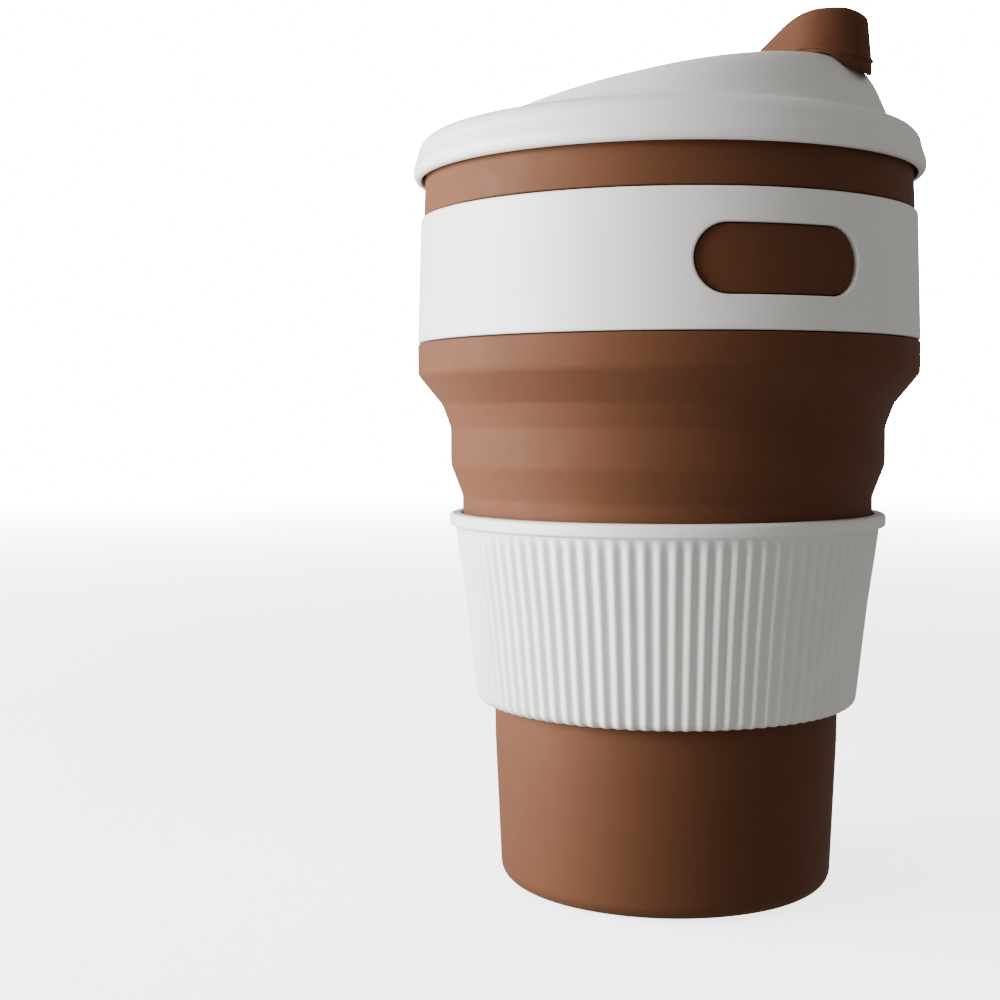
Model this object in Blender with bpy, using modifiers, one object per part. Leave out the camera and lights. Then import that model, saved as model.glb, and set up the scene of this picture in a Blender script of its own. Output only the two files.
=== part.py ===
"""Collapsible travel cup: a three-tier silicone cup with two folding webs, a grip band, a ribbed
heat sleeve, and a push-on lid whose sip hole is closed by a silicone stopper on a strap.

The origin is the middle of the cup's base, on the surface it stands on. +Z is up the cup's axis,
and +X points to the sip hole.
"""

import math

import bpy
from mathutils import Matrix, Vector

MM = 0.001  # lengths in this file are in millimetres, and the scene is in metres
SEGMENTS = 40
CORNER_STEPS = 2
GAP = 0.3  # between two pieces that touch

# Heights up the cup, at the seams between the tiers and the webs that fold.
BASE_TOP = 33.3
MIDDLE_BOTTOM = 66.0
MIDDLE_TOP = 79.1
UPPER_BOTTOM = 92.2
BAND_BOTTOM = 97.9
BAND_TOP = 120.1
RIM_TOP = 131.4

# Outer radii of the cup.
FOOT_RADIUS = 30.05
BASE_RADIUS = 31.3
MIDDLE_LOW_RADIUS = 37.1
MIDDLE_HIGH_RADIUS = 39.3
UPPER_RADIUS = 45.2
RIM_RADIUS = 44.0
LOWER_WEB_RADIUS = 34.9
STEP_RADIUS = 40.65  # where the upper web turns out towards the upper tier
WALL = 2.1
WEB_WALL = 1.3

# The grip band and the oval window that shows a raised pad of the silicone behind it.
BAND_WALL = 1.6
BAND_LOW_RADIUS = 45.2
BAND_HIGH_RADIUS = 44.55
BAND_SEAT = 0.2  # how far the seat's clearance reaches past the band's edges
WINDOW_LENGTH = 29.5
WINDOW_HEIGHT = 11.2
WINDOW_AZIMUTH = math.radians(-35.6)
PAD_RADIUS = 44.1

# The heat sleeve.
SLEEVE_BOTTOM = 32.9
SLEEVE_TOP = 67.3
SLEEVE_LIP_RADIUS = 31.75
SLEEVE_RIM_RADIUS = 39.55

# The lid: a flat shoulder, and a wedge whose sloping land rises from a crease to the sip hole.
LID_BOTTOM = 127.0
LID_RADIUS = 45.9
SHOULDER = 134.5
LID_WALL = 2.2
PLUG_RING_BOTTOM = 124.8
PLUG_RING_RADIUS = 40.7
WEDGE_RADIUS = 39.7
WEDGE_TAPER = 0.42
CREASE_X = -7.0
LAND_SLOPE = 0.24
CHANNEL_FRONT_X = 14.5
CHANNEL_FRONT_RADIUS = 9.0
CHANNEL_BACK_RADIUS = 20.3
SIP_X = 29.6
SIP_RADIUS = 3.4

# The stopper: a disc held by a snap-in button, and a strap with a cap that closes the sip hole.
DISC_X = -16.6
DISC_RADIUS = 18.6
DISC_UPPER_RADIUS = 17.0
DISC_TOP = 141.0
STEM_RADIUS = 4.1
BUTTON_RADIUS = 10.0
BUTTON_TOP = 144.0
STRAP_HALF_WIDTH = 8.0
STRAP_ROOT_HALF_WIDTH = 9.0
NOSE_X = 38.0
CAP_TOP = 153.3
PLUG_LENGTH = 4.5
HINGE_X = 1.5
HINGE_Z = 138.3

PARTS = "collapsible_travel_cup"
GUIDES = "cutters"


# Helpers


def clear_scene():
    for obj in list(bpy.data.objects):
        bpy.data.objects.remove(obj, do_unlink=True)


def collection(name):
    """The collection of this name, made on first use."""
    found = bpy.data.collections.get(name)
    if found is None:
        found = bpy.data.collections.new(name)
        bpy.context.scene.collection.children.link(found)
    return found


def plastic(name, colour, roughness):
    """A Principled material for a moulded plastic or silicone."""
    material = bpy.data.materials.new(name)
    material.use_nodes = True
    shader = material.node_tree.nodes["Principled BSDF"]
    shader.inputs["Base Color"].default_value = (*colour, 1.0)
    shader.inputs["Roughness"].default_value = roughness
    shader.inputs["Metallic"].default_value = 0.0
    return material


def filleted(corners):
    """The closed outline through these (u, v, radius) corners, each rounded to its radius."""
    points = []
    for index, (u, v, radius) in enumerate(corners):
        corner = Vector((u, v))
        if radius == 0:
            points.append(corner)
            continue
        before = (Vector(corners[index - 1][:2]) - corner).normalized()
        after = (Vector(corners[(index + 1) % len(corners)][:2]) - corner).normalized()
        half = before.angle(after) / 2
        reach = radius / math.tan(half)
        centre = corner + (before + after).normalized() * radius / math.sin(half)
        start = corner + before * reach - centre
        end = corner + after * reach - centre
        turn = start.angle(end)
        for step in range(CORNER_STEPS + 1):
            part = step / CORNER_STEPS
            spoke = start * math.sin((1 - part) * turn) + end * math.sin(part * turn)
            points.append(centre + spoke / math.sin(turn))
    return points


def turned(name, corners, centre_x=0.0):
    """A turned solid. The corners (radius, height, fillet) run down its outer side."""
    points = filleted(corners)
    edges = [(i, (i + 1) % len(points)) for i in range(len(points))]
    edges = [(a, b) for a, b in edges if points[a].x > 0 or points[b].x > 0]
    mesh = bpy.data.meshes.new(name)
    mesh.from_pydata([(p.x * MM, 0, p.y * MM) for p in points], edges, [])
    obj = bpy.data.objects.new(name, mesh)
    obj.location.x = centre_x * MM
    collection(PARTS).objects.link(obj)
    screw = obj.modifiers.new("Turn", "SCREW")
    screw.axis = "Z"
    screw.angle = math.tau
    screw.steps = SEGMENTS
    screw.render_steps = SEGMENTS
    screw.use_merge_vertices = True
    screw.merge_threshold = 0.00001
    return obj


def prism(name, outline, low, high, turn=None):
    """A flat outline made thick between two levels, then turned into place."""
    curve = bpy.data.curves.new(name, "CURVE")
    curve.dimensions = "2D"
    curve.fill_mode = "BOTH"
    curve.extrude = (high - low) / 2 * MM
    spline = curve.splines.new("POLY")
    spline.points.add(len(outline) - 1)
    for point, (u, v) in zip(spline.points, outline):
        point.co = (u * MM, v * MM, 0, 1)
    spline.use_cyclic_u = True
    flat = bpy.data.objects.new(name, curve)
    flat.matrix_world = Matrix.Translation((0, 0, (low + high) / 2 * MM))
    if turn is not None:
        flat.matrix_world = turn @ flat.matrix_world
    collection(PARTS).objects.link(flat)
    solid = settled(flat)
    weld = solid.modifiers.new("Weld", "WELD")
    weld.merge_threshold = 0.000001
    return settled(solid)


def settled(obj):
    """The object as a mesh in world space, with its modifiers worked in and its edges shaded."""
    name = obj.name
    bpy.context.view_layer.update()
    graph = bpy.context.evaluated_depsgraph_get()
    mesh = bpy.data.meshes.new_from_object(obj.evaluated_get(graph))
    mesh.transform(obj.matrix_world)
    mesh.shade_smooth()
    mesh.set_sharp_from_angle(angle=math.radians(35))
    bpy.data.objects.remove(obj, do_unlink=True)
    made = bpy.data.objects.new(name, mesh)
    collection(PARTS).objects.link(made)
    return made


def boolean(obj, operation, other):
    """Cuts, joins or crosses obj with other, which becomes a hidden guide."""
    collection(PARTS).objects.unlink(other)
    collection(GUIDES).objects.link(other)
    other.hide_render = True
    other.display_type = "WIRE"
    modifier = obj.modifiers.new(operation.title(), "BOOLEAN")
    modifier.operation = operation
    modifier.solver = "EXACT"
    modifier.object = other
    return obj


def set_origin(obj, x, y, z):
    """Moves the object's origin without moving its shape."""
    place = Vector((x, y, z)) * MM
    obj.data.transform(Matrix.Translation(-place))
    obj.location = place


# The cup: three tiers and the two webs that fold between them


def cup_base():
    floor = 3.0
    inner = BASE_RADIUS - WALL
    return turned(
        "cup_base",
        [
            (BASE_RADIUS, BASE_TOP - GAP / 2, 0),
            (FOOT_RADIUS, 0, 2.8),
            (0, 0, 0),
            (0, floor, 0),
            (inner - 1.6, floor, 4.0),
            (inner, BASE_TOP - GAP / 2, 0),
        ],
    )


def lower_fold_web():
    """The web hidden by the sleeve. It turns inside out when the middle tier sinks over the base."""
    top = MIDDLE_BOTTOM - GAP / 2
    bottom = BASE_TOP + GAP / 2
    return turned(
        "lower_fold_web",
        [
            (MIDDLE_LOW_RADIUS - 0.3, top, 0),
            (LOWER_WEB_RADIUS, top - 1.6, 0),
            (BASE_RADIUS + 0.2, bottom, 0),
            (BASE_RADIUS - WEB_WALL, bottom, 0),
            (LOWER_WEB_RADIUS - WEB_WALL, top - 1.2, 0),
            (LOWER_WEB_RADIUS + 0.2, top, 0),
        ],
    )


def middle_cup_wall():
    top = MIDDLE_TOP - GAP / 2
    bottom = MIDDLE_BOTTOM + GAP / 2
    return turned(
        "middle_cup_wall",
        [
            (MIDDLE_HIGH_RADIUS, top, 0),
            (MIDDLE_HIGH_RADIUS - 0.1, MIDDLE_TOP - 3.2, 1.5),
            (MIDDLE_LOW_RADIUS, MIDDLE_BOTTOM + 4.3, 1.5),
            (MIDDLE_LOW_RADIUS, bottom, 0),
            (MIDDLE_LOW_RADIUS - WALL, bottom, 0),
            (MIDDLE_LOW_RADIUS - WALL, MIDDLE_BOTTOM + 5.2, 1.0),
            (MIDDLE_HIGH_RADIUS - WALL, MIDDLE_TOP - 2.4, 1.0),
            (MIDDLE_HIGH_RADIUS - WALL, top, 0),
        ],
    )


def upper_fold_web():
    """The conical web under the upper tier."""
    top = UPPER_BOTTOM - GAP / 2
    bottom = MIDDLE_TOP + GAP / 2
    return turned(
        "upper_fold_web",
        [
            (UPPER_RADIUS - 0.2, top, 0),
            (UPPER_RADIUS - 1.4, UPPER_BOTTOM - 1.7, 0),
            (STEP_RADIUS, UPPER_BOTTOM - 5.6, 3.0),
            (MIDDLE_HIGH_RADIUS, MIDDLE_TOP + 3.6, 3.0),
            (MIDDLE_HIGH_RADIUS, bottom, 0),
            (MIDDLE_HIGH_RADIUS - WALL, bottom, 0),
            (MIDDLE_HIGH_RADIUS - WALL, MIDDLE_TOP + 3.9, 3.0),
            (STEP_RADIUS - WEB_WALL, UPPER_BOTTOM - 4.6, 3.0),
            (UPPER_RADIUS - 2.8, top, 0),
        ],
    )


def window_outline(margin):
    """The window's oval, drawn with its length along u and grown by the margin."""
    length = WINDOW_LENGTH / 2 + margin
    height = WINDOW_HEIGHT / 2 + margin
    corner = height * 0.98
    return filleted(
        [
            (-length, -height, corner),
            (length, -height, corner),
            (length, height, corner),
            (-length, height, corner),
        ]
    )


def window_prism(name, margin):
    """The oval as a bar that points out of the cup's axis, at the window's height and azimuth."""
    middle = (BAND_BOTTOM + BAND_TOP) / 2
    upright = Matrix.Rotation(math.radians(90), 4, "Z") @ Matrix.Rotation(math.radians(90), 4, "X")
    place = Matrix.Rotation(WINDOW_AZIMUTH, 4, "Z") @ Matrix.Translation((0, 0, middle * MM))
    return prism(name, window_outline(margin), 30, 60, place @ upright)


def upper_cup_wall():
    """The upper tier, with a seat for the grip band and the pad that fills the band's window."""
    bottom = UPPER_BOTTOM + GAP / 2
    seat_low = BAND_LOW_RADIUS - BAND_WALL - GAP
    seat_high = BAND_HIGH_RADIUS - BAND_WALL - GAP
    inner = seat_high - 1.9
    wall = turned(
        "upper_cup_wall",
        [
            (RIM_RADIUS - 1.1, RIM_TOP, 0.8),
            (RIM_RADIUS, LID_BOTTOM + 0.4, 0),
            (RIM_RADIUS + 0.3, BAND_TOP + BAND_SEAT, 0),
            (seat_high, BAND_TOP + BAND_SEAT, 0),
            (seat_low, BAND_BOTTOM - BAND_SEAT, 0),
            (UPPER_RADIUS, BAND_BOTTOM - BAND_SEAT, 0),
            (UPPER_RADIUS, bottom, 0.8),
            (UPPER_RADIUS - 2.9, bottom, 0),
            (inner + 0.4, BAND_BOTTOM + 1.1, 3.0),
            (inner, RIM_TOP, 0.8),
        ],
    )
    pad = turned(
        "window_pad",
        [
            (PAD_RADIUS, BAND_TOP - 1, 0),
            (PAD_RADIUS, BAND_BOTTOM + 1, 0),
            (seat_high - 0.8, BAND_BOTTOM + 1, 0),
            (seat_high - 0.8, BAND_TOP - 1, 0),
        ],
    )
    boolean(pad, "INTERSECT", window_prism("window_pad_edge", -GAP))
    boolean(wall, "UNION", pad)
    return wall


def grip_band():
    band = turned(
        "grip_band",
        [
            (BAND_HIGH_RADIUS, BAND_TOP, 0.4),
            (BAND_LOW_RADIUS, BAND_BOTTOM, 0.4),
            (BAND_LOW_RADIUS - BAND_WALL, BAND_BOTTOM, 0),
            (BAND_HIGH_RADIUS - BAND_WALL, BAND_TOP, 0),
        ],
    )
    return boolean(band, "DIFFERENCE", window_prism("window_hole", 0))


def heat_sleeve():
    """A tapered ring with a rolled rim, turned in at its foot to a lip that grips the base."""
    wall = 1.6
    neck = SLEEVE_RIM_RADIUS - 1.3
    waist = SLEEVE_RIM_RADIUS - 3.1
    waist_height = SLEEVE_BOTTOM + 18.4
    foot = SLEEVE_RIM_RADIUS - 5.3
    mouth = MIDDLE_LOW_RADIUS + 0.35
    return turned(
        "heat_sleeve",
        [
            (SLEEVE_RIM_RADIUS, SLEEVE_TOP, 1.0),
            (SLEEVE_RIM_RADIUS, SLEEVE_TOP - 2.2, 1.0),
            (neck, SLEEVE_TOP - 2.4, 0),
            (waist, waist_height, 0),
            (foot, SLEEVE_BOTTOM, 2.0),
            (SLEEVE_LIP_RADIUS, SLEEVE_BOTTOM, 0),
            (SLEEVE_LIP_RADIUS, SLEEVE_BOTTOM + 1.2, 0),
            (foot - wall - 0.1, SLEEVE_BOTTOM + 2.0, 0),
            (waist - wall, waist_height, 0),
            (neck - wall, SLEEVE_TOP - 3.6, 0),
            (mouth, SLEEVE_TOP - 2.3, 0),
            (mouth, SLEEVE_TOP, 0.4),
        ],
    )


# The lid


def wedge_radius(height):
    """The wedge wall's radius at this height."""
    return WEDGE_RADIUS - (height - SHOULDER) * WEDGE_TAPER


def land_height(x):
    """The height of the sloping land at this distance along +X."""
    return SHOULDER + (x - CREASE_X) * LAND_SLOPE


def channel_outline(margin):
    """The channel cut in the land: an arc round the disc and one behind the cap, with tangents."""
    back = CHANNEL_BACK_RADIUS + margin
    front = CHANNEL_FRONT_RADIUS + margin
    lean = math.asin((back - front) / (CHANNEL_FRONT_X - DISC_X))
    open_angle = math.pi / 2 - lean
    steps = 10
    points = []
    for step in range(steps + 1):
        angle = -open_angle + 2 * open_angle * step / steps
        points.append((CHANNEL_FRONT_X + front * math.cos(angle), front * math.sin(angle)))
    for step in range(2 * steps + 1):
        angle = open_angle + 2 * (math.pi - open_angle) * step / (2 * steps)
        points.append((DISC_X + back * math.cos(angle), back * math.sin(angle)))
    return points


def wedge(name, bottom, margin):
    """The wedge as a solid, grown by the margin and open where its channel runs."""
    top = SHOULDER + 16
    cone = turned(
        name,
        [
            (0, top, 0),
            (wedge_radius(top) + margin, top, 0),
            (wedge_radius(bottom) + margin, bottom, 0),
            (0, bottom, 0),
        ],
    )
    lift = margin * math.hypot(1, LAND_SLOPE)
    slope = [
        (CREASE_X - 60, land_height(CREASE_X - 60) + lift),
        (60, land_height(60) + lift),
        (60, bottom - 40),
        (CREASE_X - 60, bottom - 40),
    ]
    sideways = Matrix.Rotation(math.radians(90), 4, "X")
    boolean(cone, "INTERSECT", prism(name + "_slope", slope[::-1], -60, 60, sideways))
    channel = prism(name + "_channel", channel_outline(-margin), bottom - 5, top + 5)
    boolean(cone, "DIFFERENCE", channel)
    return cone


def lid_shell():
    underside = SHOULDER - LID_WALL
    mouth = LID_RADIUS - 1.5
    shell = turned(
        "lid_shell",
        [
            (0, SHOULDER, 0),
            (44.0, SHOULDER, 2.0),
            (LID_RADIUS - 0.2, LID_BOTTOM + 3.0, 2.0),
            (LID_RADIUS, LID_BOTTOM, 0.5),
            (mouth, LID_BOTTOM, 0),
            (mouth, LID_BOTTOM + 0.8, 0),
            (mouth - 1.1, underside, 0),
            (PLUG_RING_RADIUS, underside, 0),
            (PLUG_RING_RADIUS, PLUG_RING_BOTTOM, 0.5),
            (PLUG_RING_RADIUS - 1.9, PLUG_RING_BOTTOM, 0.5),
            (PLUG_RING_RADIUS - 1.9, underside, 0),
            (0, underside, 0),
        ],
    )
    boolean(shell, "UNION", wedge("wedge", SHOULDER - 1, 0))
    boolean(shell, "DIFFERENCE", wedge("wedge_hollow", underside - 0.5, -LID_WALL))
    sip_hole = turned(
        "sip_hole",
        [
            (0, SHOULDER + 20, 0),
            (SIP_RADIUS, SHOULDER + 20, 0),
            (SIP_RADIUS, SHOULDER - 1, 0),
            (0, SHOULDER - 1, 0),
        ],
        SIP_X,
    )
    boolean(shell, "DIFFERENCE", sip_hole)
    button_hole = turned(
        "button_hole",
        [
            (0, SHOULDER + 3, 0),
            (STEM_RADIUS + GAP, SHOULDER + 3, 0),
            (STEM_RADIUS + GAP, underside - 3, 0),
            (0, underside - 3, 0),
        ],
        DISC_X,
    )
    return boolean(shell, "DIFFERENCE", button_hole)


# The stopper


def stopper_disc():
    """Two stacked rings with a groove between them, and a hole for the button's stem."""
    hole = STEM_RADIUS + GAP
    bottom = SHOULDER + GAP
    groove_top = DISC_TOP - 2.9
    groove_bottom = DISC_TOP - 3.4
    return turned(
        "stopper_disc",
        [
            (DISC_UPPER_RADIUS, DISC_TOP, 1.4),
            (DISC_UPPER_RADIUS, groove_top, 0),
            (DISC_UPPER_RADIUS - 0.6, groove_top, 0),
            (DISC_UPPER_RADIUS - 0.6, groove_bottom, 0),
            (DISC_RADIUS - 0.3, groove_bottom, 0.6),
            (DISC_RADIUS - 0.3, bottom + 0.7, 0),
            (DISC_RADIUS, bottom + 0.7, 0),
            (DISC_RADIUS, bottom, 0),
            (hole, bottom, 0),
            (hole, DISC_TOP - 0.5, 0),
            (BUTTON_RADIUS + 1, DISC_TOP - 0.5, 0),
        ],
        DISC_X,
    )


def stopper_button():
    """A domed head with a shallow dimple, on a stem that snaps through the lid."""
    head_bottom = DISC_TOP - 0.5 + GAP
    snap_top = SHOULDER - LID_WALL - GAP
    return turned(
        "stopper_button",
        [
            (0, BUTTON_TOP - 0.9, 0),
            (2.4, BUTTON_TOP - 0.9, 1.5),
            (5.2, BUTTON_TOP + 0.1, 1.5),
            (BUTTON_RADIUS, BUTTON_TOP - 0.6, 1.6),
            (BUTTON_RADIUS, head_bottom, 1.0),
            (STEM_RADIUS, head_bottom, 0),
            (STEM_RADIUS, snap_top, 0),
            (STEM_RADIUS + 1.0, snap_top, 0),
            (STEM_RADIUS + 1.0, snap_top - 0.5, 0),
            (STEM_RADIUS, snap_top - 1.4, 0),
            (0, snap_top - 1.4, 0),
        ],
        DISC_X,
    )


def stopper_strap():
    """The strap that rises from the disc to the cap, and the plug under the cap."""
    side = filleted(
        [
            (NOSE_X + 2, CAP_TOP - 11.2, 0),
            (NOSE_X + 2, CAP_TOP - 3.7, 0),
            (27.0, CAP_TOP + 1.1, 9.0),
            (11.3, HINGE_Z + 0.1, 12.0),
            (-4.0, HINGE_Z - 0.3, 0),
            (-4.0, SHOULDER + 0.6, 0),
            (8.0, SHOULDER + 0.7, 10.0),
            (23.0, SHOULDER + 6.3, 3.0),
        ]
    )
    plan = filleted(
        [
            (-4.0, -STRAP_ROOT_HALF_WIDTH, 0),
            (10.0, -STRAP_HALF_WIDTH, 0),
            (NOSE_X, -STRAP_HALF_WIDTH, 7.0),
            (NOSE_X, STRAP_HALF_WIDTH, 7.0),
            (10.0, STRAP_HALF_WIDTH, 0),
            (-4.0, STRAP_ROOT_HALF_WIDTH, 0),
        ]
    )
    strap = prism("stopper_strap", side, -20, 20, Matrix.Rotation(math.radians(90), 4, "X"))
    boolean(strap, "INTERSECT", prism("strap_plan", plan, SHOULDER - 10, CAP_TOP + 10))
    boolean(strap, "DIFFERENCE", wedge("wedge_clearance", SHOULDER - 1, GAP + 0.05))
    root_clearance = turned(
        "root_clearance",
        [
            (0, SHOULDER + 10, 0),
            (DISC_RADIUS + GAP, SHOULDER + 10, 0),
            (DISC_RADIUS + GAP, SHOULDER - 10, 0),
            (0, SHOULDER - 10, 0),
        ],
        DISC_X,
    )
    boolean(strap, "DIFFERENCE", root_clearance)
    seat = land_height(SIP_X)
    plug = turned(
        "plug",
        [
            (0, seat + 4, 0),
            (SIP_RADIUS - 0.35, seat + 4, 0),
            (SIP_RADIUS - 0.35, seat - 0.5, 0),
            (SIP_RADIUS - 1.0, seat - PLUG_LENGTH, 0.4),
            (0, seat - PLUG_LENGTH, 0),
        ],
        SIP_X,
    )
    return boolean(strap, "UNION", plug)


def main():
    clear_scene()
    silicone = plastic("brown_silicone", (0.30, 0.14, 0.08), 0.6)
    white = plastic("white_plastic", (0.80, 0.80, 0.79), 0.45)
    pieces = [
        (cup_base, silicone),
        (lower_fold_web, silicone),
        (middle_cup_wall, silicone),
        (upper_fold_web, silicone),
        (upper_cup_wall, silicone),
        (grip_band, white),
        (heat_sleeve, white),
        (lid_shell, white),
        (stopper_disc, silicone),
        (stopper_strap, silicone),
        (stopper_button, white),
    ]
    cup = bpy.data.objects.new("travel_cup", None)
    collection(PARTS).objects.link(cup)
    for make, material in pieces:
        piece = settled(make())
        piece.data.materials.clear()
        piece.data.materials.append(material)
        if piece.name == "stopper_strap":
            set_origin(piece, HINGE_X, 0, HINGE_Z)
        piece.parent = cup


main()
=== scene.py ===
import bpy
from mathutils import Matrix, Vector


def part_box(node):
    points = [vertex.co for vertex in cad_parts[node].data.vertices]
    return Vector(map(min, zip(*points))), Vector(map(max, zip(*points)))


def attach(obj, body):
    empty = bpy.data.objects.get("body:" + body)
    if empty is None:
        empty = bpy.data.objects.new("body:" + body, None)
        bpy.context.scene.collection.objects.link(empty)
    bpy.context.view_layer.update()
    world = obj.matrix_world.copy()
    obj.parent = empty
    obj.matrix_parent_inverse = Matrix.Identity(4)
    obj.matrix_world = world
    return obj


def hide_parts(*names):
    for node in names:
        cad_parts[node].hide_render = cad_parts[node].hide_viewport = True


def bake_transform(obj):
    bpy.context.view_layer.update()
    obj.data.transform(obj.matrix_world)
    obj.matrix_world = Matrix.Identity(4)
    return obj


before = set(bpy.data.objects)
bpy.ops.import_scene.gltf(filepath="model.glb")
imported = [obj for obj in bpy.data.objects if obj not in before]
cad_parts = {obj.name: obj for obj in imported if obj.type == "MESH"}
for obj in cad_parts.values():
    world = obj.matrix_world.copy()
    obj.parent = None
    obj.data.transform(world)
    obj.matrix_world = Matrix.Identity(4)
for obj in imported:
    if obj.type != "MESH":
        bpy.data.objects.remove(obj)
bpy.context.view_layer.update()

"""Looks of the collapsible travel cup: the silicone body with its folding webs, the grip band, the
ribbed heat sleeve, the lid with its wedge and channel, and the stopper with its strap and button.

Lengths are in millimetres up to the meshes, which are in metres.
"""

import math

import bmesh
import bpy
import numpy as np
from mathutils import Matrix, Vector

MM = 0.001
COLUMNS = 192  # points round each turned piece


# Places read from the CAD frame


def low(node, axis=2):
    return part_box(node)[0][axis] / MM


def high(node, axis=2):
    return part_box(node)[1][axis] / MM


SEAM = 0.15  # half the gap between two tiers in the frame
BASE_TOP = high("cup_base") + SEAM
BASE_RADIUS = high("cup_base", 0)
MIDDLE_BOTTOM = low("middle_cup_wall") - SEAM
MIDDLE_TOP = high("middle_cup_wall") + SEAM
MIDDLE_RADIUS = high("middle_cup_wall", 0)
UPPER_BOTTOM = low("upper_cup_wall") - SEAM
UPPER_RADIUS = high("upper_cup_wall", 0)
RIM_TOP = high("upper_cup_wall")
BAND_BOTTOM = low("grip_band")
BAND_TOP = high("grip_band")
BAND_RADIUS = high("grip_band", 0)
SLEEVE_BOTTOM = low("heat_sleeve")
SLEEVE_TOP = high("heat_sleeve")
SLEEVE_RADIUS = high("heat_sleeve", 0)
DISC_GAP = 0.3  # between the lid's shoulder and the stopper's disc
SHOULDER = low("stopper_disc") - DISC_GAP
LID_RADIUS = high("lid_shell", 0)
SKIRT_HEIGHT = 7.5
LID_BOTTOM = SHOULDER - SKIRT_HEIGHT
PLUG_RING_BOTTOM = low("lid_shell")
DISC_RADIUS = high("stopper_disc", 1)
DISC_X = (low("stopper_disc", 0) + high("stopper_disc", 0)) / 2
DISC_TOP = high("stopper_disc")
BUTTON_RADIUS = high("stopper_button", 1)
BUTTON_TOP = high("stopper_button")
CAP_TOP = high("stopper_strap")
NOSE_REACH = 0.8  # how far the cap's nose passes the frame's
NOSE_X = high("stopper_strap", 0) + NOSE_REACH

# The cup's walls
BODY_WALL = 2.1
WEB_WALL = 1.15
UPPER_WALL = 2.9
STEP_RADIUS = MIDDLE_RADIUS + 1.4
MIDDLE_LOW_RADIUS = MIDDLE_RADIUS - 2.2
UPPER_SEAM = UPPER_BOTTOM + 2.8
MIDDLE_SEAM = MIDDLE_TOP - 1.6
RIM_RADIUS = UPPER_RADIUS - 1.5

# The grip band and its window
BAND_HIGH_RADIUS = BAND_RADIUS - 0.65
BAND_MIDDLE_RADIUS = (BAND_RADIUS + BAND_HIGH_RADIUS) / 2
BAND_WALL = 1.6
BAND_COLUMNS = 240
EDGE_ROWS = 3  # rows of the band above the frame round the window, and below it
FRAME_ACROSS = 15  # columns from the middle of that frame to its side
FRAME_UP = 8  # rows from its middle to its top
FRAME_HALF_HEIGHT = 7.4
OVAL_RINGS = 5
WINDOW_MIDDLE = (BAND_BOTTOM + BAND_TOP) / 2
WINDOW_AZIMUTH = math.radians(-35.6)
WINDOW_LENGTH = 29.5
WINDOW_HEIGHT = 11.2
PAD_GAP = 0.5
PAD_RECESS = 0.75
PAD_WALL = 1.6

# The heat sleeve
RIBS = 94
RIB_SAMPLES = 8
RIB_DEPTH = 0.6
SLEEVE_WALL = 1.6
SLEEVE_FOOT_TURN = 7.6  # how far the foot turns in from the sleeve's rim

# The lid
CREASE_X = -7.0
LAND_SLOPE = 0.24
WEDGE_RADIUS = 40.2
WEDGE_TAPER = 0.42
CREASE_SOFTNESS = 0.15
EDGE_SOFTNESS = 5.0
FOOT_SOFTNESS = 2.4
LID_WALL = 2.2
CHANNEL_FRONT_X = 14.5
CHANNEL_FRONT_RADIUS = 9.0
CHANNEL_BACK_RADIUS = 20.3
REAR_REACH = 18.0  # how far the lid's columns run back behind the crease
RING_RADIUS = 40.7
RING_WALL = 1.9
HOLLOW_RADIUS = 38.4
HOLE_RADIUS = 4.4
SIP_X = 29.6
SIP_RADIUS = 3.4
FRONT_COLUMNS = 120
BACK_COLUMNS = 72

# The stopper
STRAP_HALF_WIDTH = 8.0
ROOT_X = -7.0
STRAP_GAP = 0.35
NOSE_LENGTH = 9.5
SPINE_END = NOSE_X - 7.6
CAP_DRAFT = 0.55
CAP_CROWN = 0.35
BEAD_RISE = 0.55  # above the strap's underside
BEAD_SIDE_RISE = 1.1  # more than that beside the cap
BEAD_TURN_X = 33.0  # where the bead levels off round the nose
BEAD_NOSE_RISE = 1.1
BEAD_NOSE_FALL = 0.26
BEAD_BULGE = ((0.08, 0.4), (0.26, 0.24), (0.32, 0.04), (0.26, -0.16), (0.05, -0.32))
BEAD_FOOT = 0.32
LIP_BULGE = ((0.05, 0.35), (0.1, 0.6), (0.05, 0.82), (-0.1, 0.95), (-0.35, 1.0))
LIP_DEPTH = 1.5
LIP_NOSE_DEPTH = 0.9


# Geometry helpers


def filleted(corners, steps_each=7):
    """The outline through these (u, v, radius) corners, each rounded to its radius."""
    points = []
    for index, (u, v, radius) in enumerate(corners):
        corner = Vector((u, v))
        if radius == 0:
            points.append(corner)
            continue
        before = (Vector(corners[index - 1][:2]) - corner).normalized()
        after = (Vector(corners[(index + 1) % len(corners)][:2]) - corner).normalized()
        half = before.angle(after) / 2
        reach = radius / math.tan(half)
        centre = corner + (before + after).normalized() * radius / math.sin(half)
        start = corner + before * reach - centre
        end = corner + after * reach - centre
        turn = start.angle(end)
        steps = max(3, math.ceil(turn / (math.pi / 2) * steps_each))
        for step in range(steps + 1):
            part = step / steps
            spoke = start * math.sin((1 - part) * turn) + end * math.sin(part * turn)
            points.append(centre + spoke / math.sin(turn))
    return [(p.x, p.y) for p in points]


def spaced(points, step):
    """The open outline with points added so that none lie further apart than the step."""
    out = [points[0]]
    for start, end in zip(points, points[1:]):
        count = max(1, math.ceil(math.dist(start, end) / step))
        for k in range(1, count + 1):
            out.append(tuple(np.array(start) + (np.array(end) - np.array(start)) * k / count))
    return out


def along(points, fractions):
    """Points on the open outline at these fractions of its length."""
    points = np.array(points, float)
    steps = np.linalg.norm(np.diff(points, axis=0), axis=1)
    travelled = np.concatenate([[0], np.cumsum(steps)]) / steps.sum()
    return np.stack([np.interp(fractions, travelled, points[:, k]) for k in range(2)], axis=-1)


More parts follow.
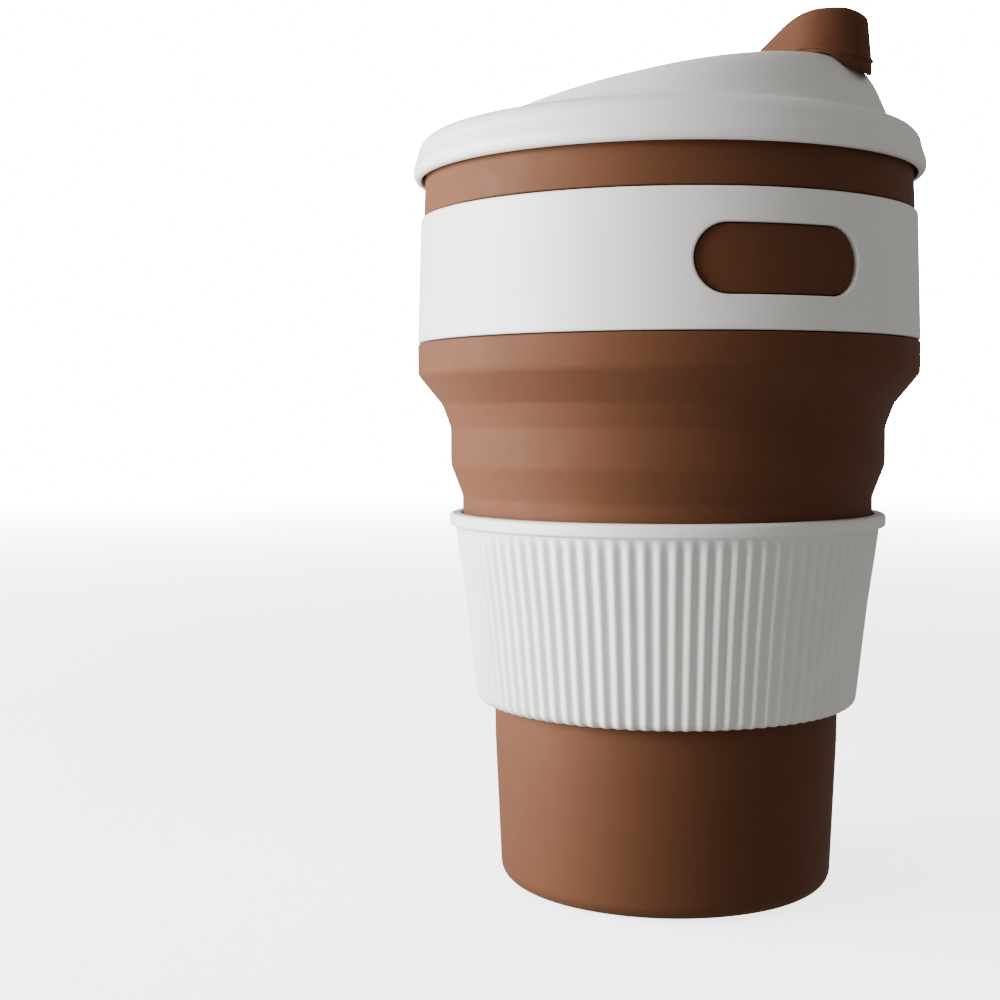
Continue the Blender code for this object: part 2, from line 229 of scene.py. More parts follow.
def smooth_min(a, b, softness):
    softness = np.maximum(softness, 1e-6)
    overlap = np.clip((softness - np.abs(a - b)) / softness, 0, 1)
    return np.minimum(a, b) - overlap**2 * softness / 4


def smooth_max(a, b, softness):
    return -smooth_min(-a, -b, softness)


def smooth_step(value, start, end):
    part = np.clip((value - start) / (end - start), 0, 1)
    return part * part * (3 - 2 * part)


# Mesh helpers


def made(name, points, faces):
    """A smooth-shaded object of these points in millimetres, with points that meet merged."""
    mesh = bpy.data.meshes.new(name)
    mesh.from_pydata((np.asarray(points, float).reshape(-1, 3) * MM).tolist(), [], faces)
    work = bmesh.new()
    work.from_mesh(mesh)
    bmesh.ops.remove_doubles(work, verts=work.verts, dist=2e-6)
    work.to_mesh(mesh)
    work.free()
    obj = bpy.data.objects.new(name, mesh)
    bpy.context.scene.collection.objects.link(obj)
    shade(obj)
    return obj


def shade(obj, angle=38):
    obj.data.shade_smooth()
    obj.data.set_sharp_from_angle(angle=math.radians(angle))


def surface(name, rows, wrap_rows=False, wrap_columns=True):
    """A skin over rows of points, which run down its outer side."""
    grid = np.asarray(rows, float)
    count, columns = grid.shape[:2]
    faces = []
    for i in range(count if wrap_rows else count - 1):
        below = (i + 1) % count
        for j in range(columns if wrap_columns else columns - 1):
            beside = (j + 1) % columns
            top, bottom = i * columns, below * columns
            faces.append((top + j, bottom + j, bottom + beside, top + beside))
    return made(name, grid, faces)


def circle_rows(profile, columns=COLUMNS, centre_x=0.0):
    """One circle of points for each (radius, height) of the profile."""
    turn = np.linspace(0, math.tau, columns, endpoint=False)
    return [
        np.stack(
            [centre_x + r * np.cos(turn), r * np.sin(turn), np.full(columns, z)],
            axis=-1,
        )
        for r, z in profile
    ]


def turned(name, corners, columns=COLUMNS, centre_x=0.0, closed=True, step=None):
    """A turned piece. The corners (radius, height, fillet) run down its outer side."""
    profile = filleted(corners)
    if step is not None:
        profile = spaced(profile, step)
    return surface(name, circle_rows(profile, columns, centre_x), wrap_rows=closed)


def settled(obj):
    """The object with its modifiers worked in."""
    bpy.context.view_layer.update()
    graph = bpy.context.evaluated_depsgraph_get()
    mesh = bpy.data.meshes.new_from_object(obj.evaluated_get(graph))
    obj.modifiers.clear()
    obj.data = mesh
    shade(obj)
    return obj


def mirrored_skin(name, grid):
    """A skin over a grid of points on the +Y side, with its mirror image on the other side."""
    mirrored = grid * np.array([1, -1, 1])
    points = np.concatenate([grid.reshape(-1, 3), mirrored.reshape(-1, 3)])
    count, width = grid.shape[:2]
    offset = count * width
    faces = []
    for i in range(count - 1):
        for j in range(width - 1):
            a, b = i * width + j, i * width + j + 1
            c, d = (i + 1) * width + j + 1, (i + 1) * width + j
            faces.append((a, b, c, d))
            faces.append((d + offset, c + offset, b + offset, a + offset))
    return made(name, points, faces)


def fill_openings(obj):
    work = bmesh.new()
    work.from_mesh(obj.data)
    open_edges = [edge for edge in work.edges if edge.is_boundary]
    bmesh.ops.holes_fill(work, edges=open_edges)
    bmesh.ops.recalc_face_normals(work, faces=work.faces)
    work.to_mesh(obj.data)
    work.free()


def rounded_shell(obj, wall, radius):
    """Gives an open skin its wall, inwards, and rounds the edges of the wall."""
    solid = obj.modifiers.new("Wall", "SOLIDIFY")
    solid.thickness = wall * MM
    solid.offset = -1
    solid.use_even_offset = True
    bevel = obj.modifiers.new("Edges", "BEVEL")
    bevel.width = radius * MM
    bevel.segments = 4
    bevel.limit_method = "ANGLE"
    bevel.angle_limit = math.radians(50)
    return settled(obj)


def finish_piece(obj, material, body=None, nodes=()):
    """Gives a piece its material, its body and the nodes that it stands for."""
    obj.data.materials.clear()
    obj.data.materials.append(material)
    if body is not None:
        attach(obj, body)
    if nodes:
        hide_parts(*nodes)
    return obj


# Materials


def node(tree, kind, **inputs):
    made_node = tree.nodes.new(kind)
    for name, value in inputs.items():
        made_node.inputs[name.replace("_", " ")].default_value = value
    return made_node


def noise(tree, vector, scale, detail=2.0, roughness=0.5):
    texture = node(tree, "ShaderNodeTexNoise", Scale=scale, Detail=detail, Roughness=roughness)
    tree.links.new(vector, texture.inputs["Vector"])
    return texture.outputs["Fac"]


def ranged(tree, value, from_low, from_high, to_low, to_high):
    mapped = node(
        tree,
        "ShaderNodeMapRange",
        From_Min=from_low,
        From_Max=from_high,
        To_Min=to_low,
        To_Max=to_high,
    )
    tree.links.new(value, mapped.inputs["Value"])
    return mapped.outputs["Result"]


def mixed(tree, factor, colour_a, colour_b):
    mix = tree.nodes.new("ShaderNodeMix")
    mix.data_type = "RGBA"
    tree.links.new(factor, mix.inputs["Factor"])
    for socket, colour in ((mix.inputs[6], colour_a), (mix.inputs[7], colour_b)):
        if isinstance(colour, tuple):
            socket.default_value = (*colour, 1.0)
        else:
            tree.links.new(colour, socket)
    return mix.outputs[2]


def moulded(name, colour, shade_colour, fleck_colour, roughness, grain, depth, flecks):
    """A moulded surface: cloudy colour, sparse flecks of dust, fine grain and uneven gloss."""
    material = bpy.data.materials.new(name)
    material.use_nodes = True
    tree = material.node_tree
    shader = tree.nodes["Principled BSDF"]
    place = tree.nodes.new("ShaderNodeTexCoord").outputs["Object"]
    clouds = ranged(tree, noise(tree, place, 38.0, 3.0), 0.35, 0.65, 0.0, 1.0)
    body = mixed(tree, clouds, colour, shade_colour)
    dust = ranged(tree, noise(tree, place, 900.0, 1.0), flecks, flecks + 0.06, 0.0, 0.5)
    tree.links.new(mixed(tree, dust, body, fleck_colour), shader.inputs["Base Color"])
    gloss = noise(tree, place, 160.0, 4.0, 0.6)
    tree.links.new(
        ranged(tree, gloss, 0.3, 0.7, roughness - 0.05, roughness + 0.07),
        shader.inputs["Roughness"],
    )
    fine = node(tree, "ShaderNodeBump", Strength=0.35, Distance=depth * MM)
    tree.links.new(noise(tree, place, grain, 3.0, 0.6), fine.inputs["Height"])
    broad = node(tree, "ShaderNodeBump", Strength=0.25, Distance=depth * 6 * MM)
    tree.links.new(noise(tree, place, 120.0, 2.0), broad.inputs["Height"])
    tree.links.new(fine.outputs["Normal"], broad.inputs["Normal"])
    tree.links.new(broad.outputs["Normal"], shader.inputs["Normal"])
    return material, shader


def silicone(name, colour):
    dark = tuple(c * 0.93 for c in colour)
    pale = tuple(c * 0.85 + 0.03 for c in colour)
    material, shader = moulded(name, colour, dark, pale, 0.66, 3200.0, 0.02, 0.74)
    shader.inputs["IOR"].default_value = 1.42
    shader.inputs["Specular IOR Level"].default_value = 0.25
    shader.inputs["Sheen Weight"].default_value = 0.06
    shader.inputs["Sheen Roughness"].default_value = 0.5
    shader.inputs["Sheen Tint"].default_value = (1.0, 0.93, 0.88, 1.0)
    return material


def white_plastic(name, colour, roughness):
    dark = tuple(c * 0.97 for c in colour)
    dust = tuple(c * 0.85 for c in colour)
    material, shader = moulded(name, colour, dark, dust, roughness, 2600.0, 0.012, 0.76)
    shader.inputs["IOR"].default_value = 1.49
    return material


# The silicone body


def upper_skin():
    """The upper tier, from the seam on its straight wall to the rim, with the seat of the band."""
    seat_low = BAND_RADIUS - BAND_WALL - 0.3
    seat_high = BAND_HIGH_RADIUS - BAND_WALL - 0.3
    inner = seat_high - 1.9
    return turned(
        "cup_upper_tier",
        [
            (RIM_RADIUS - 1.1, RIM_TOP, 0.9),
            (RIM_RADIUS, LID_BOTTOM + 0.4, 2.0),
            (RIM_RADIUS + 0.3, BAND_TOP + 0.2, 0.25),
            (seat_high, BAND_TOP + 0.2, 0),
            (seat_low, BAND_BOTTOM - 0.2, 0),
            (UPPER_RADIUS, BAND_BOTTOM - 0.2, 0.35),
            (UPPER_RADIUS, UPPER_SEAM, 0),
            (UPPER_RADIUS - UPPER_WALL, UPPER_SEAM, 0),
            (inner + 0.4, BAND_BOTTOM + 1.1, 3.0),
            (inner, RIM_TOP, 0.9),
        ],
    )


def folding_skin(name, corners, wall):
    """An open skin with a wall whose thickness follows its height."""
    obj = turned(name, corners, closed=False, step=0.45)
    mesh = obj.data
    heights, walls = zip(*sorted(wall))
    group = obj.vertex_groups.new(name="wall")
    for vertex in mesh.vertices:
        share = np.interp(vertex.co.z / MM, heights, walls) / UPPER_WALL
        group.add([vertex.index], float(share), "REPLACE")
    uses = np.zeros(len(mesh.edges), int)
    for polygon in mesh.polygons:
        for loop in polygon.loop_indices:
            uses[mesh.loops[loop].edge_index] += 1
    for edge in mesh.edges:
        edge.use_edge_sharp = bool(uses[edge.index] == 1)
    solid = obj.modifiers.new("Wall", "SOLIDIFY")
    solid.thickness = UPPER_WALL * MM
    solid.offset = -1
    solid.vertex_group = "wall"
    return obj


def upper_fold():
    """The conical web under the upper tier, from that tier's wall to the middle tier's."""
    return folding_skin(
        "cup_upper_fold",
        [
            (UPPER_RADIUS, UPPER_SEAM, 0),
            (UPPER_RADIUS, UPPER_BOTTOM, 2.0),
            (STEP_RADIUS + 0.1, UPPER_BOTTOM - 5.4, 2.4),
            (MIDDLE_RADIUS, MIDDLE_TOP + 3.6, 2.4),
            (MIDDLE_RADIUS, MIDDLE_SEAM, 0),
        ],
        [
            (UPPER_SEAM, UPPER_WALL),
            (UPPER_BOTTOM, UPPER_WALL),
            (UPPER_BOTTOM - 2.5, WEB_WALL),
            (MIDDLE_TOP + 3.0, WEB_WALL),
            (MIDDLE_TOP, BODY_WALL),
            (MIDDLE_SEAM, BODY_WALL),
        ],
    )


def lower_fold():
    """The middle tier and the web under it, which the sleeve hides."""
    web_radius = MIDDLE_LOW_RADIUS - BODY_WALL - WEB_WALL - 0.1
    return folding_skin(
        "cup_lower_fold",
        [
            (MIDDLE_RADIUS, MIDDLE_SEAM, 0),
            (MIDDLE_RADIUS - 0.05, MIDDLE_TOP - 3.2, 2.2),
            (MIDDLE_LOW_RADIUS, MIDDLE_BOTTOM + 4.3, 2.2),
            (MIDDLE_LOW_RADIUS, MIDDLE_BOTTOM + 0.2, 0.7),
            (web_radius, MIDDLE_BOTTOM - 1.6, 1.2),
            (BASE_RADIUS + 0.1, BASE_TOP + 2.0, 1.0),
            (BASE_RADIUS, BASE_TOP - 0.3, 0),
        ],
        [
            (MIDDLE_SEAM, BODY_WALL),
            (MIDDLE_BOTTOM + 2.0, BODY_WALL),
            (MIDDLE_BOTTOM - 1.0, WEB_WALL),
            (BASE_TOP + 4.0, WEB_WALL),
            (BASE_TOP + 1.0, BODY_WALL),
            (BASE_TOP - 0.3, BODY_WALL),
        ],
    )


def base_skin():
    floor = 3.0
    foot = BASE_RADIUS - 1.25
    inner = BASE_RADIUS - BODY_WALL
    return turned(
        "cup_base_tier",
        [
            (BASE_RADIUS, BASE_TOP - 0.3, 0),
            (BASE_RADIUS - 0.1, 26.0, 12.0),
            (foot, 0, 2.8),
            (0, 0, 0),
            (0, floor, 0),
            (inner - 1.6, floor, 4.5),
            (inner, BASE_TOP - 0.3, 0),
        ],
    )


# The window: an oval on the band's wall, laid out by arc length and height


def oval(length, height, count):
    """A quarter of the oval, from its right end to its top, in count steps."""
    radius = height / 2
    straight = length / 2 - radius
    arc = [
        (straight + radius * math.cos(a), radius * math.sin(a))
        for a in np.linspace(0, math.pi / 2, 25)
    ]
    return along(arc + [(0, radius)], np.linspace(0, 1, count + 1))


def on_wall(u, v, inset=0.0):
    """The point of the band's outer wall at arc length u and height v from the window's middle."""
    z = WINDOW_MIDDLE + v
    share = (z - BAND_BOTTOM) / (BAND_TOP - BAND_BOTTOM)
    radius = BAND_RADIUS + (BAND_HIGH_RADIUS - BAND_RADIUS) * share - inset
    turn = WINDOW_AZIMUTH + u / BAND_MIDDLE_RADIUS
    return (radius * math.cos(turn), radius * math.sin(turn), z)


def grip_band():
    """The band as a grid round the cup, with rings that run from a frame of it to the oval."""
    columns, across, up = BAND_COLUMNS, FRAME_ACROSS, FRAME_UP
    pitch = math.tau * BAND_MIDDLE_RADIUS / columns
    rise = FRAME_HALF_HEIGHT / up
    levels = [rise * k for k in range(-up, up + 1)]
    edge = BAND_TOP - WINDOW_MIDDLE
    outer = [edge - (edge - levels[-1]) * k / EDGE_ROWS for k in range(EDGE_ROWS)]
    heights = outer + levels[::-1] + [-v for v in outer[::-1]]
    points = []
    index = {}
    for i, v in enumerate(heights):
        for j in range(columns):
            index[i, j] = len(points)
            points.append(on_wall(j * pitch, v))
    faces = []
    top, bottom = EDGE_ROWS, EDGE_ROWS + 2 * up
    for i in range(len(heights) - 1):
        for j in range(columns):
            inside = top <= i < bottom and (j < across or j >= columns - across)
            if not inside:
                k = (j + 1) % columns
                faces.append((index[i, j], index[i + 1, j], index[i + 1, k], index[i, k]))
    middle = EDGE_ROWS + up
    frame_loop = [(middle - k, across) for k in range(up)]
    frame_loop += [(top, across - k) for k in range(2 * across)]
    frame_loop += [(top + k, -across) for k in range(2 * up)]
    frame_loop += [(bottom, -across + k) for k in range(2 * across)]
    frame_loop += [(bottom - k, across) for k in range(up)]
    quarter = oval(WINDOW_LENGTH, WINDOW_HEIGHT, up + across)
    right_top = [tuple(p) for p in quarter]
    left_top = [(-u, v) for u, v in right_top[::-1]]
    half = right_top[:-1] + left_top
    hole = half[:-1] + [(-u, -v) for u, v in half[:-1]]
    previous = [index[i, j % columns] for i, j in frame_loop]
    for ring in range(1, OVAL_RINGS + 1):
        share = ring / OVAL_RINGS
        current = []
        for (i, j), (u, v) in zip(frame_loop, hole):
            start_u, start_v = j * pitch, heights[i]
            current.append(len(points))
            points.append(
                on_wall(start_u + (u - start_u) * share, start_v + (v - start_v) * share)
            )
        for k in range(len(current)):
            after = (k + 1) % len(current)
            faces.append((previous[k], previous[after], current[after], current[k]))
        previous = current
    return rounded_shell(made("grip_band_shell", points, faces), BAND_WALL, 0.42)


def window_pad():
    """The oval of silicone that fills the window, a little below the band's face."""
    length, height = WINDOW_LENGTH - PAD_GAP, WINDOW_HEIGHT - PAD_GAP
    radius = height / 2
    straight = length / 2 - radius
    turns = np.linspace(math.pi / 2, 0, 19)
    right = [(straight + radius * math.cos(a), radius * math.sin(a)) for a in turns]
    flat = [(u, radius) for u in np.linspace(0, straight, 12)[:-1]]
    stations = flat + right
    stations = [(-u, h) for u, h in stations[:0:-1]] + stations
    rows = [
        [on_wall(u, h * v, PAD_RECESS) for u, h in stations]
        for v in np.linspace(1, -1, 13)
    ]
    pad = surface("window_pad", rows, wrap_columns=False)
    return rounded_shell(pad, PAD_WALL, 0.5)


# The heat sleeve


def heat_sleeve():
    """A tapered ring with grooves between its ribs, a rolled rim and a foot turned in."""
    neck = SLEEVE_RADIUS - 1.15
    foot = SLEEVE_RADIUS - 5.1
    mouth = MIDDLE_LOW_RADIUS + 0.35
    wall = SLEEVE_WALL
    groove_top = SLEEVE_TOP - 3.4
    outer = filleted(
        [
            (mouth + 0.2, SLEEVE_TOP, 0),
            (SLEEVE_RADIUS, SLEEVE_TOP, 0.8),
            (SLEEVE_RADIUS - 0.05, SLEEVE_TOP - 2.2, 0.45),
            (neck, SLEEVE_TOP - 2.5, 0.15),
            (SLEEVE_RADIUS - 1.75, SLEEVE_TOP - 7.0, 6.0),
            (SLEEVE_RADIUS - 3.05, SLEEVE_BOTTOM + 18.4, 30.0),
            (foot, SLEEVE_BOTTOM, 1.6),
            (SLEEVE_RADIUS - SLEEVE_FOOT_TURN, SLEEVE_BOTTOM, 0),
        ]
    )
    inner = filleted(
        [
            (SLEEVE_RADIUS - 7.8, SLEEVE_BOTTOM + 0.2, 0),
            (SLEEVE_RADIUS - 7.8, SLEEVE_BOTTOM + 1.2, 0),
            (foot - wall, SLEEVE_BOTTOM + 2.2, 1.0),
            (SLEEVE_RADIUS - 3.05 - wall, SLEEVE_BOTTOM + 18.4, 20.0),
            (neck - wall - 0.1, SLEEVE_TOP - 3.6, 0.5),
            (mouth, SLEEVE_TOP - 2.3, 0.5),
            (mouth, SLEEVE_TOP - 0.2, 0),
        ]
    )
    columns = RIBS * RIB_SAMPLES
    turn = np.linspace(0, math.tau, columns, endpoint=False)
    groove = ((1 - np.cos(turn * RIBS)) / 2) ** 1.15
    rows = []
    for r, z in spaced(outer, 1.6):
        run_out = max(0.0, min(1.0, (groove_top - z) / 0.9))
        arch = math.sqrt(1 - (1 - run_out) ** 2)
        flat_foot = SLEEVE_RADIUS - SLEEVE_FOOT_TURN
        lip = float(smooth_step(np.array(r), flat_foot, SLEEVE_RADIUS - 6.2))
        radius = r - RIB_DEPTH * groove * arch * lip
        x, y = radius * np.cos(turn), radius * np.sin(turn)
        rows.append(np.stack([x, y, np.full(columns, z)], axis=-1))
    rows += circle_rows(spaced(inner, 5.0), columns)
    return surface("heat_sleeve_shell", rows, wrap_rows=True)


# The lid


def wedge_height(x, y):
    """How far the wedge stands above the lid's shoulder, its channel left out."""
    land = smooth_max((x - CREASE_X) * LAND_SLOPE, 0, CREASE_SOFTNESS)
    cone = (WEDGE_RADIUS - np.hypot(x, y)) / WEDGE_TAPER
    foot = smooth_max(cone, 0, np.minimum(FOOT_SOFTNESS, 0.9 * land))
    return smooth_min(land, foot, np.minimum(EDGE_SOFTNESS, land))


def hollow_height(x, y):
    """How far the hollow under the wedge rises above the underside of the lid's plate."""
    land = (x - CREASE_X) * LAND_SLOPE + LID_WALL * (1 - math.hypot(1, LAND_SLOPE))
    cone = (WEDGE_RADIUS - np.hypot(x, y)) / WEDGE_TAPER
    cone = cone + LID_WALL * (1 - math.hypot(1, 1 / WEDGE_TAPER))
    return np.maximum(smooth_min(land, cone, 0.8), 0)


def channel_loop(margin):
    """The channel's edge in plan, grown by the margin, one point for each of the lid's columns."""
    back = CHANNEL_BACK_RADIUS + margin
    front = CHANNEL_FRONT_RADIUS + margin
    lean = math.asin((back - front) / (CHANNEL_FRONT_X - DISC_X))
    open_angle = math.pi / 2 - lean
    arc = [
        (CHANNEL_FRONT_X + front * math.cos(a), front * math.sin(a))
        for a in np.linspace(0, open_angle, 40)
    ]
    tangent = (DISC_X + back * math.cos(open_angle), back * math.sin(open_angle))
    share = (arc[-1][0] - CREASE_X) / (arc[-1][0] - tangent[0])
    crease_y = arc[-1][1] + (tangent[1] - arc[-1][1]) * share
    half = along(arc + [(CREASE_X, crease_y)], np.linspace(0, 1, FRONT_COLUMNS // 2 + 1))
    mirrored = half[:0:-1] * np.array([1, -1])
    turn = np.linspace(math.pi / 2, math.pi * 1.5, BACK_COLUMNS + 1)[1:-1]
    rear_x = CREASE_X + REAR_REACH * np.cos(turn)
    rear = np.stack([rear_x, crease_y * np.sin(turn)], axis=-1)
    return np.concatenate([mirrored, half, rear])


def rim_angles():
    """The angle of each of the lid's columns about its axis, with one on each end of the crease."""
    crease = math.acos(CREASE_X / WEDGE_RADIUS)
    front = np.linspace(-crease, crease, FRONT_COLUMNS + 1)
    rear = np.linspace(crease, math.tau - crease, BACK_COLUMNS + 1)[1:-1]
    return np.concatenate([front, rear])


def wedge_edge(angles):
    """The distance from the lid's axis at which the land meets the wedge's wall."""
    meet = (WEDGE_RADIUS / WEDGE_TAPER + CREASE_X * LAND_SLOPE) / (
        1 / WEDGE_TAPER + LAND_SLOPE * np.cos(angles)
    )
    return np.minimum(meet, WEDGE_RADIUS)


def raised(plan, base, height=None):
    """Plan points (x, y) as a row at the base level plus a height."""
    z = np.full(len(plan), float(base))
    if height is not None:
        z = z + height
    return np.column_stack([plan, z])


def button_hole():
    """The edge of the button's hole in plan, one point for each of the lid's columns."""
    centre = np.array([DISC_X, 0.0])
    spokes = channel_loop(0) - centre
    return centre + HOLE_RADIUS * (spokes / np.linalg.norm(spokes, axis=1)[:, None])


def lid_top_rows(angles):
    """Rows from the button's hole out over the channel, its wall, the land and the wedge."""
    hole = button_hole()
    bottom_fillet, top_fillet, draft = 0.5, 0.75, 0.12
    inner = channel_loop(-draft - bottom_fillet)
    shares = (0, 0.2, 0.4, 0.6, 0.8, 1)
    rows = [raised(hole + (inner - hole) * t, SHOULDER) for t in shares]
    for turn in np.linspace(0, math.pi / 2, 6)[1:]:
        plan = channel_loop(-draft - bottom_fillet * (1 - math.sin(turn)))
        rise = np.minimum(bottom_fillet, 0.45 * wedge_height(*plan.T))
        rows.append(raised(plan, SHOULDER, rise * (1 - math.cos(turn))))
    for turn in np.linspace(0, math.pi / 2, 7):
        plan = channel_loop(draft + top_fillet * (1 - math.cos(turn)))
        full = wedge_height(*plan.T)
        fall = np.minimum(top_fillet, 0.45 * full) * (1 - math.sin(turn))
        rows.append(raised(plan, SHOULDER, full - fall))
    outer = channel_loop(draft + top_fillet)
    spin = np.stack([np.cos(angles), np.sin(angles)], axis=-1)
    start = wedge_edge(angles) - 3.2
    landing = spin * start[:, None]
    for t in np.linspace(0, 1, 12)[1:-1]:
        plan = outer + (landing - outer) * t
        rows.append(raised(plan, SHOULDER, wedge_height(*plan.T)))
    for t in np.linspace(0, 1, 34):
        plan = spin * (start + (WEDGE_RADIUS + 1.0 - start) * t)[:, None]
        rows.append(raised(plan, SHOULDER, wedge_height(*plan.T)))
    return rows


def lid_skirt_rows(angles):
    """Rows over the shoulder's edge, down the skirt, round its lip and down the plug ring."""
    underside = SHOULDER - LID_WALL
    profile = filleted(
        [
            (WEDGE_RADIUS + 1.1, SHOULDER, 0),
            (LID_RADIUS - 1.4, SHOULDER, 3.1),
            (LID_RADIUS - 0.75, LID_BOTTOM + 4.2, 5.0),
            (LID_RADIUS, LID_BOTTOM + 2.0, 2.4),
            (LID_RADIUS, LID_BOTTOM, 1.2),
            (LID_RADIUS - 1.5, LID_BOTTOM, 0.3),
            (LID_RADIUS - 1.5, LID_BOTTOM + 0.8, 0),
            (LID_RADIUS - 2.6, underside, 0.8),
            (RING_RADIUS, underside, 0.6),
            (RING_RADIUS, PLUG_RING_BOTTOM, 0.7),
            (RING_RADIUS - RING_WALL, PLUG_RING_BOTTOM, 0.7),
            (RING_RADIUS - RING_WALL, underside, 0),
        ]
    )
    cos, sin = np.cos(angles), np.sin(angles)
    return [np.column_stack([r * cos, r * sin, np.full(len(cos), z)]) for r, z in profile]


def lid_under_rows(angles):
    """Rows from the plug ring in over the hollow of the wedge to the button's hole."""
    underside = SHOULDER - LID_WALL
    spin = np.stack([np.cos(angles), np.sin(angles)], axis=-1)
    start = np.full(len(angles), HOLLOW_RADIUS)
    end = wedge_edge(angles) - 4.4
    rows = []
    for t in np.linspace(0, 1, 12):
        plan = spin * (start + (end - start) * t)[:, None]
        rows.append(raised(plan, underside, hollow_height(*plan.T)))
    outer = channel_loop(LID_WALL + 0.15)
    for t in np.linspace(0, 1, 7)[1:]:
        plan = spin * end[:, None] * (1 - t) + outer * t
        rows.append(raised(plan, underside, hollow_height(*plan.T)))
    inner = channel_loop(LID_WALL)
    hole = button_hole()
    for t in (0, 0.25, 0.5, 0.75, 1):
        rows.append(raised(inner + (hole - inner) * t, underside))
    return rows


def lid():
    angles = rim_angles()
    rows = lid_top_rows(angles) + lid_skirt_rows(angles) + lid_under_rows(angles)
    shell = surface("lid_body", rows, wrap_rows=True)
    cutter = turned(
        "sip_hole_cutter",
        [
            (0, SHOULDER + 20, 0),
            (SIP_RADIUS, SHOULDER + 20, 0),
            (SIP_RADIUS, SHOULDER - 1, 0),
            (0, SHOULDER - 1, 0),
        ],
        72,
        SIP_X,
    )
    cut = shell.modifiers.new("Sip hole", "BOOLEAN")
    cut.operation = "DIFFERENCE"
    cut.solver = "EXACT"
    cut.object = cutter
    settled(shell)
    bpy.data.objects.remove(cutter, do_unlink=True)
    return shell


# The stopper


def stopper_disc():
    """Two stacked rings with a groove between them, a lip at the foot and a dished top."""
    hole = HOLE_RADIUS
    bottom = SHOULDER + DISC_GAP
    groove = DISC_TOP - 3.15
    return turned(
        "stopper_disc_rings",
        [
            (14.6, DISC_TOP, 3.0),
            (DISC_RADIUS - 1.5, DISC_TOP - 0.7, 1.7),
            (DISC_RADIUS - 1.6, groove + 0.25, 0.2),
            (DISC_RADIUS - 2.2, groove, 0.2),
            (DISC_RADIUS - 0.25, groove - 0.2, 0.95),
            (DISC_RADIUS - 0.4, bottom + 0.85, 0.15),
            (DISC_RADIUS, bottom + 0.65, 0.25),
            (DISC_RADIUS, bottom, 0.2),
            (hole, bottom, 0),
            (hole, DISC_TOP - 0.5, 0),
            (BUTTON_RADIUS + 1, DISC_TOP - 0.5, 2.0),
        ],
        160,
        DISC_X,
    )


def stopper_button():
    """A domed head with a rounded side and a shallow dimple, on a stem that holds the lid."""
    head_bottom = DISC_TOP - 0.2
    snap_top = SHOULDER - LID_WALL - 0.3
    stem = HOLE_RADIUS - 0.3
    return turned(
        "stopper_button_head",
        [
            (0, BUTTON_TOP - 0.85, 0),
            (2.0, BUTTON_TOP - 0.85, 4.0),
            (4.7, BUTTON_TOP + 0.2, 3.2),
            (7.8, BUTTON_TOP - 0.5, 5.0),
            (BUTTON_RADIUS, BUTTON_TOP - 1.5, 1.4),
            (BUTTON_RADIUS, head_bottom, 0.8),
            (stem, head_bottom, 0),
            (stem, snap_top, 0),
            (stem + 1.0, snap_top, 0.2),
            (stem + 1.0, snap_top - 0.5, 0.2),
            (stem, snap_top - 1.4, 0),
            (0, snap_top - 1.4, 0),
        ],
        128,
        DISC_X,
    )


def strap_plan():
    """Half the strap's outline in plan, from its root under the disc to the middle of the nose."""
    ring = DISC_RADIUS - 0.3
    reach = ROOT_X - DISC_X
    root_y = math.sqrt(ring**2 - reach**2)
    span = 10.0 - ROOT_X
    flare = []
    for t in np.linspace(0, 1, 22):
        start_slope = -reach / root_y * span
        y = (2 * t**3 - 3 * t**2 + 1) * root_y + (t**3 - 2 * t**2 + t) * start_slope
        y += (-2 * t**3 + 3 * t**2) * STRAP_HALF_WIDTH
        flare.append((ROOT_X + span * t, y))
    corner_x = NOSE_X - NOSE_LENGTH
    nose = [
        (corner_x + NOSE_LENGTH * math.cos(a), STRAP_HALF_WIDTH * math.sin(a))
        for a in np.linspace(math.pi / 2, 0, 26)
    ]
    straight = spaced([flare[-1], nose[0]], 0.7)[1:-1]
    return np.array(flare + straight + nose)


def outline_normals(plan):
    """The outward direction at each point of the half outline."""
    mirrored = plan[-2] * np.array([1, -1])
    padded = np.vstack([2 * plan[0] - plan[1], plan, mirrored])
    tangent = padded[2:] - padded[:-2]
    tangent = tangent / np.linalg.norm(tangent, axis=1)[:, None]
    return np.column_stack([-tangent[:, 1], tangent[:, 0]])


def strap_side_profile():
    """The strap's top line and underside line, each as (x, height)."""
    top = filleted(
        [
            (ROOT_X - 2, DISC_TOP - 3.3, 0),
            (10.8, DISC_TOP - 3.0, 12.0),
            (29.4, CAP_TOP - 0.25, 12.0),
            (36.6, CAP_TOP - 0.35, 3.0),
            (NOSE_X + 3, CAP_TOP - 3.35, 0),
        ],
        16,
    )
    under = filleted(
        [
            (ROOT_X - 2, SHOULDER + 0.45, 0),
            (7.0, SHOULDER + 0.6, 9.0),
            (18.4, land_line(18.4), 4.0),
            (50.0, land_line(50.0), 0),
        ],
        10,
    )
    return np.array(top), np.array(under)


def land_line(x):
    return SHOULDER + (x - CREASE_X) * LAND_SLOPE + STRAP_GAP


